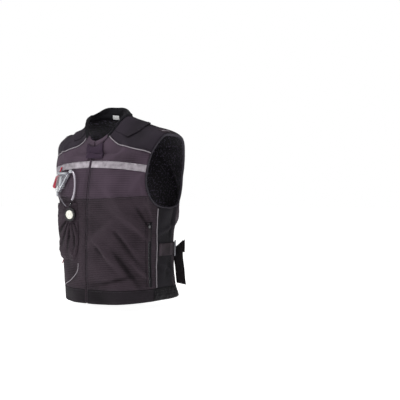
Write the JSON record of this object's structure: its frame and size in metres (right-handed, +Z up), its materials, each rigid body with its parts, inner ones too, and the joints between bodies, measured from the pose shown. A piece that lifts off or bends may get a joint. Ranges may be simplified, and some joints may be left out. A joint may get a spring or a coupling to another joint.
{
  "type": "motorcycle airbag vest",
  "caption": "Sleeveless riding vest with a zip front, padded stand collar, chest stripe, inflator with gas cartridge and hose, hip pockets and webbing side adjusters, in its worn form.",
  "frame": {"origin": "middle of the neck opening, level with the collar's sides, between the wearer's shoulders", "axes": "+Z up, -Y out of the front, +X to the wearer's left"},
  "size_m": [0.4576, 0.3402, 0.6323],
  "materials": {
    "chest_cloth": "tightly woven polyester with a slight sheen",
    "body_mesh": "ribbed mesh cloth",
    "side_mesh": "stretch mesh",
    "shoulder_cloth": "woven polyester",
    "collar_cloth": "soft padded knit",
    "tab_cloth": "woven cloth, edge stitched",
    "label_cloth": "bare satin label",
    "lining_mesh": "spacer mesh",
    "zip_tape": "coil zip on woven tape",
    "webbing": "ribbed nylon webbing",
    "piping_cord": "woven piping",
    "binding_tape": "folded bias tape",
    "reflective_tape": "grey retroreflective tape",
    "hem_cloth": "woven polyester band",
    "hem_elastic": "gathered elastic",
    "buckle_plastic": "moulded black plastic",
    "clear_plastic": "clear smoky plastic",
    "red_metal": "gloss red enamel",
    "fitting_metal": "satin metal",
    "hose_plastic": "smooth white tube",
    "disc_plastic": "smooth white plastic",
    "bezel_rubber": "black rubber ring",
    "lanyard_cord": "round braided cord",
    "tag_webbing": "red ribbon"
  },
  "bodies": {
    "root": {"front_chest_left": "chest_cloth", "front_chest_right": "chest_cloth", "front_lower_left": "body_mesh", "front_lower_right": "body_mesh", "side_panel_left": "side_mesh", "side_panel_right": "side_mesh", "back_panel": "body_mesh", "yoke_back": "shoulder_cloth", "yoke_left": "shoulder_cloth", "yoke_right": "shoulder_cloth", "collar": "collar_cloth", "collar_tab": "tab_cloth", "neck_label": "label_cloth", "lining": "lining_mesh", "front_zip": "zip_tape", "hip_zip": "zip_tape", "hip_welt_front": "chest_cloth", "hip_welt_rear": "chest_cloth", "hip_puller": "webbing", "hip_piping": "piping_cord", "piping_yoke_left": "piping_cord", "piping_yoke_right": "piping_cord", "piping_side_left": "piping_cord", "piping_side_right": "piping_cord", "armhole_binding_left": "binding_tape", "armhole_binding_right": "binding_tape", "reflective_stripe_left": "reflective_tape", "reflective_stripe_right": "reflective_tape", "shoulder_flap_left": "shoulder_cloth", "shoulder_flap_right": "shoulder_cloth", "shoulder_tab_left": "webbing", "shoulder_tab_right": "webbing", "hem_band_front_left": "hem_cloth", "hem_band_front_right": "hem_cloth", "hem_band_back": "hem_cloth", "hem_elastic_left": "hem_elastic", "hem_elastic_right": "hem_elastic", "side_strap_left": "webbing", "side_strap_right": "webbing", "strap_anchor_left": "webbing", "strap_anchor_right": "webbing", "strap_tail_left": "webbing", "strap_tail_right": "webbing", "side_buckle_left": "buckle_plastic", "side_buckle_right": "buckle_plastic", "inflator_pocket": "body_mesh", "inflator_body": "clear_plastic", "gas_cartridge": "red_metal", "hose_fitting": "fitting_metal", "inflator_hose": "hose_plastic", "release_disc": "disc_plastic", "disc_bezel": "bezel_rubber", "lanyard_front": "lanyard_cord", "lanyard_side": "lanyard_cord", "pull_tag_upper": "tag_webbing", "pull_tag_lower": "tag_webbing"}
  },
  "joints": []
}
